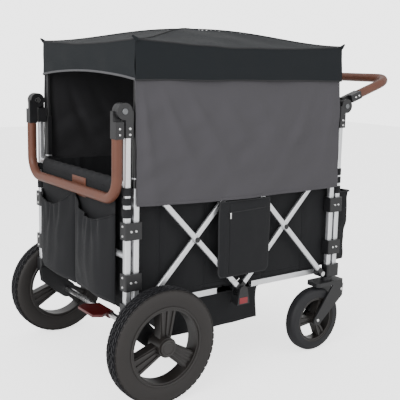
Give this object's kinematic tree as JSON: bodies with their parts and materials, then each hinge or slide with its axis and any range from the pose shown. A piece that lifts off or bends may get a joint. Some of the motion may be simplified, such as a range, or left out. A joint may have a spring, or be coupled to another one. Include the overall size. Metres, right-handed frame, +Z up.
{
  "type": "folding stroller wagon",
  "caption": "Folding wagon for children with a cloth tub, crossed side bars, a canopy with curtains, turning handles, swivel front wheels and a foot brake.",
  "frame": {"origin": "on the ground, below the middle of the box round the wagon as stored: open, rear handle hanging, front handle raised", "axes": "+Z up, +X towards the swivel wheels (front), -Y the side with the flat pocket (right)"},
  "size_m": [0.9996, 0.646, 0.922],
  "materials": {
    "frame_tube": "satin anodised",
    "black_plastic": "fine texture",
    "rivet_steel": "satin",
    "black_steel": "satin powder coat",
    "button_plastic": "satin",
    "grip_leather": "smooth, stitched",
    "tub_cloth": "plain weave",
    "canopy_cloth": "tight weave",
    "curtain_cloth": "soft weave",
    "tyre_rubber": "matt",
    "rim_plastic": "satin",
    "pedal_red": "semi gloss"
  },
  "bodies": {
    "rear_frame": {"rear_outer_frame": "frame_tube", "rear_inner_posts": "frame_tube", "rear_post_fittings": "black_plastic", "rear_axle_arms": "black_plastic", "rear_axle": "rivet_steel", "rear_fasteners": "rivet_steel", "rear_end_panel": "tub_cloth", "rear_pockets": "tub_cloth", "rear_canopy_poles": "black_steel", "canopy_roof": "canopy_cloth", "canopy_curtains": "curtain_cloth", "canopy_rods": "black_steel", "tub_sides": "tub_cloth", "under_basket": "tub_cloth"},
    "front_frame": {"front_outer_frame": "frame_tube", "front_inner_posts": "frame_tube", "front_post_fittings": "black_plastic", "caster_sockets": "black_plastic", "front_fasteners": "rivet_steel", "front_end_panel": "tub_cloth", "front_bag": "tub_cloth", "front_canopy_poles": "black_steel"},
    "bar_a": {"bar_a": "frame_tube", "bar_a_fittings": "black_plastic"},
    "bar_b": {"bar_b": "frame_tube", "bar_b_fittings": "black_plastic"},
    "bar_c": {"bar_c": "frame_tube", "bar_c_fittings": "black_plastic"},
    "bar_d": {"bar_d": "frame_tube", "bar_d_fittings": "black_plastic"},
    "rear_slider": {"rear_sliders": "black_plastic"},
    "front_slider": {"front_sliders": "black_plastic"},
    "centre": {"centre_brackets": "black_plastic", "centre_floor_board": "tub_cloth", "side_pocket": "tub_cloth"},
    "rear_floor": {"rear_floor_rails": "frame_tube", "rear_floor_board": "tub_cloth"},
    "front_floor": {"front_floor_rails": "frame_tube", "front_floor_board": "tub_cloth"},
    "rear_handle": {"rear_handle_tube": "frame_tube", "rear_handle_grip": "grip_leather", "rear_handle_sockets": "black_plastic"},
    "front_handle": {"front_handle_tube": "frame_tube", "front_handle_grip": "grip_leather", "front_handle_sockets": "black_plastic"},
    "brake_pedal": {"brake_pedal": "pedal_red"},
    "rear_button_right": {"rear_button_right": "button_plastic"},
    "rear_button_left": {"rear_button_left": "button_plastic"},
    "front_button_right": {"front_button_right": "button_plastic"},
    "front_button_left": {"front_button_left": "button_plastic"},
    "rear_wheel_right": {"rear_rim_right": "rim_plastic", "rear_tyre_right": "tyre_rubber"},
    "caster_right": {"caster_fork_right": "black_plastic"},
    "caster_wheel_right": {"caster_rim_right": "rim_plastic", "caster_tyre_right": "tyre_rubber"},
    "rear_wheel_left": {"rear_rim_left": "rim_plastic", "rear_tyre_left": "tyre_rubber"},
    "caster_left": {"caster_fork_left": "black_plastic"},
    "caster_wheel_left": {"caster_rim_left": "rim_plastic", "caster_tyre_left": "tyre_rubber"}
  },
  "joints": [
    {"name": "fold", "type": "hinge", "parent": "rear_frame", "child": "bar_a", "pos_m": [-0.37581, 0, 0.226], "axis": [0, -1, 0], "range_deg": [0, 28.5], "deforming": ["canopy_roof", "canopy_curtains", "canopy_rods", "tub_sides"]},
    {"name": "rear_cross", "type": "hinge", "parent": "bar_a", "child": "bar_b", "pos_m": [-0.22481, 0, 0.384], "axis": [0, -1, 0], "range_deg": [-57.3, 0]},
    {"name": "centre_top", "type": "hinge", "parent": "bar_a", "child": "bar_c", "pos_m": [-0.07381, 0, 0.542], "axis": [0, -1, 0], "range_deg": [-57.3, 0]},
    {"name": "front_cross", "type": "hinge", "parent": "bar_c", "child": "bar_d", "pos_m": [0.07719, 0, 0.384], "axis": [0, -1, 0], "range_deg": [0, 57.3]},
    {"name": "rear_slider_pivot", "type": "hinge", "parent": "bar_b", "child": "rear_slider", "pos_m": [-0.37581, 0, 0.542], "axis": [0, -1, 0], "range_deg": [0, 28.8]},
    {"name": "front_slider_pivot", "type": "hinge", "parent": "bar_d", "child": "front_slider", "pos_m": [0.22819, 0, 0.542], "axis": [0, -1, 0], "range_deg": [-28.8, 0]},
    {"name": "centre_bottom", "type": "hinge", "parent": "bar_b", "child": "centre", "pos_m": [-0.07381, 0, 0.226], "axis": [0, -1, 0], "range_deg": [0, 28.8]},
    {"name": "front_low", "type": "hinge", "parent": "bar_c", "child": "front_frame", "pos_m": [0.22819, 0, 0.226], "axis": [0, -1, 0], "range_deg": [0, 28.8]},
    {"name": "rear_floor_hinge", "type": "hinge", "parent": "rear_frame", "child": "rear_floor", "pos_m": [-0.37581, 0, 0.226], "axis": [0, -1, 0], "range_deg": [0, 88.08]},
    {"name": "front_floor_hinge", "type": "hinge", "parent": "front_frame", "child": "front_floor", "pos_m": [0.22819, 0, 0.226], "axis": [0, -1, 0], "range_deg": [-88.08, 0]},
    {"name": "rear_handle_turn", "type": "hinge", "parent": "rear_frame", "child": "rear_handle", "pos_m": [-0.43881, 0, 0.714], "axis": [0, 1, 0], "range_deg": [0, 150]},
    {"name": "front_handle_turn", "type": "hinge", "parent": "front_frame", "child": "front_handle", "pos_m": [0.29119, 0, 0.714], "axis": [0, -1, 0], "range_deg": [-108.5, 41.5]},
    {"name": "rear_button_right_press", "type": "slide", "parent": "rear_frame", "child": "rear_button_right", "axis": [0, 1, 0], "range_m": [0, 0.0025], "stiffness_N_per_m": 400},
    {"name": "rear_button_left_press", "type": "slide", "parent": "rear_frame", "child": "rear_button_left", "axis": [0, -1, 0], "range_m": [0, 0.0025], "stiffness_N_per_m": 400},
    {"name": "front_button_right_press", "type": "slide", "parent": "front_frame", "child": "front_button_right", "axis": [0, 1, 0], "range_m": [0, 0.0025], "stiffness_N_per_m": 400},
    {"name": "front_button_left_press", "type": "slide", "parent": "front_frame", "child": "front_button_left", "axis": [0, -1, 0], "range_m": [0, 0.0025], "stiffness_N_per_m": 400},
    {"name": "rear_wheel_right_spin", "type": "hinge", "parent": "rear_frame", "child": "rear_wheel_right", "pos_m": [-0.35381, -0.298, 0.146], "axis": [0, 1, 0], "continuous": true},
    {"name": "caster_right_swivel", "type": "hinge", "parent": "front_frame", "child": "caster_right", "pos_m": [0.25419, -0.248, 0.203], "axis": [0, 0, 1], "continuous": true},
    {"name": "caster_wheel_right_spin", "type": "hinge", "parent": "caster_right", "child": "caster_wheel_right", "pos_m": [0.20219, -0.248, 0.093], "axis": [0, 1, 0], "continuous": true},
    {"name": "rear_wheel_left_spin", "type": "hinge", "parent": "rear_frame", "child": "rear_wheel_left", "pos_m": [-0.35381, 0.298, 0.146], "axis": [0, 1, 0], "continuous": true},
    {"name": "caster_left_swivel", "type": "hinge", "parent": "front_frame", "child": "caster_left", "pos_m": [0.25419, 0.248, 0.203], "axis": [0, 0, 1], "continuous": true},
    {"name": "caster_wheel_left_spin", "type": "hinge", "parent": "caster_left", "child": "caster_wheel_left", "pos_m": [0.20219, 0.248, 0.093], "axis": [0, 1, 0], "continuous": true},
    {"name": "brake_press", "type": "hinge", "parent": "rear_frame", "child": "brake_pedal", "pos_m": [-0.35381, 0, 0.146], "axis": [0, -1, 0], "range_deg": [0, 20]}
  ],
  "couplings": [
    {"joint": "rear_cross", "follows": "fold", "ratio": -2},
    {"joint": "centre_top", "follows": "fold", "ratio": -2},
    {"joint": "front_cross", "follows": "fold", "ratio": 2},
    {"joint": "rear_slider_pivot", "follows": "fold", "ratio": 1},
    {"joint": "front_slider_pivot", "follows": "fold", "ratio": -1},
    {"joint": "centre_bottom", "follows": "fold", "ratio": 1},
    {"joint": "front_low", "follows": "fold", "ratio": 1},
    {"joint": "rear_floor_hinge", "follows": "fold", "ratio": 3.08},
    {"joint": "front_floor_hinge", "follows": "fold", "ratio": -3.08}
  ]
}
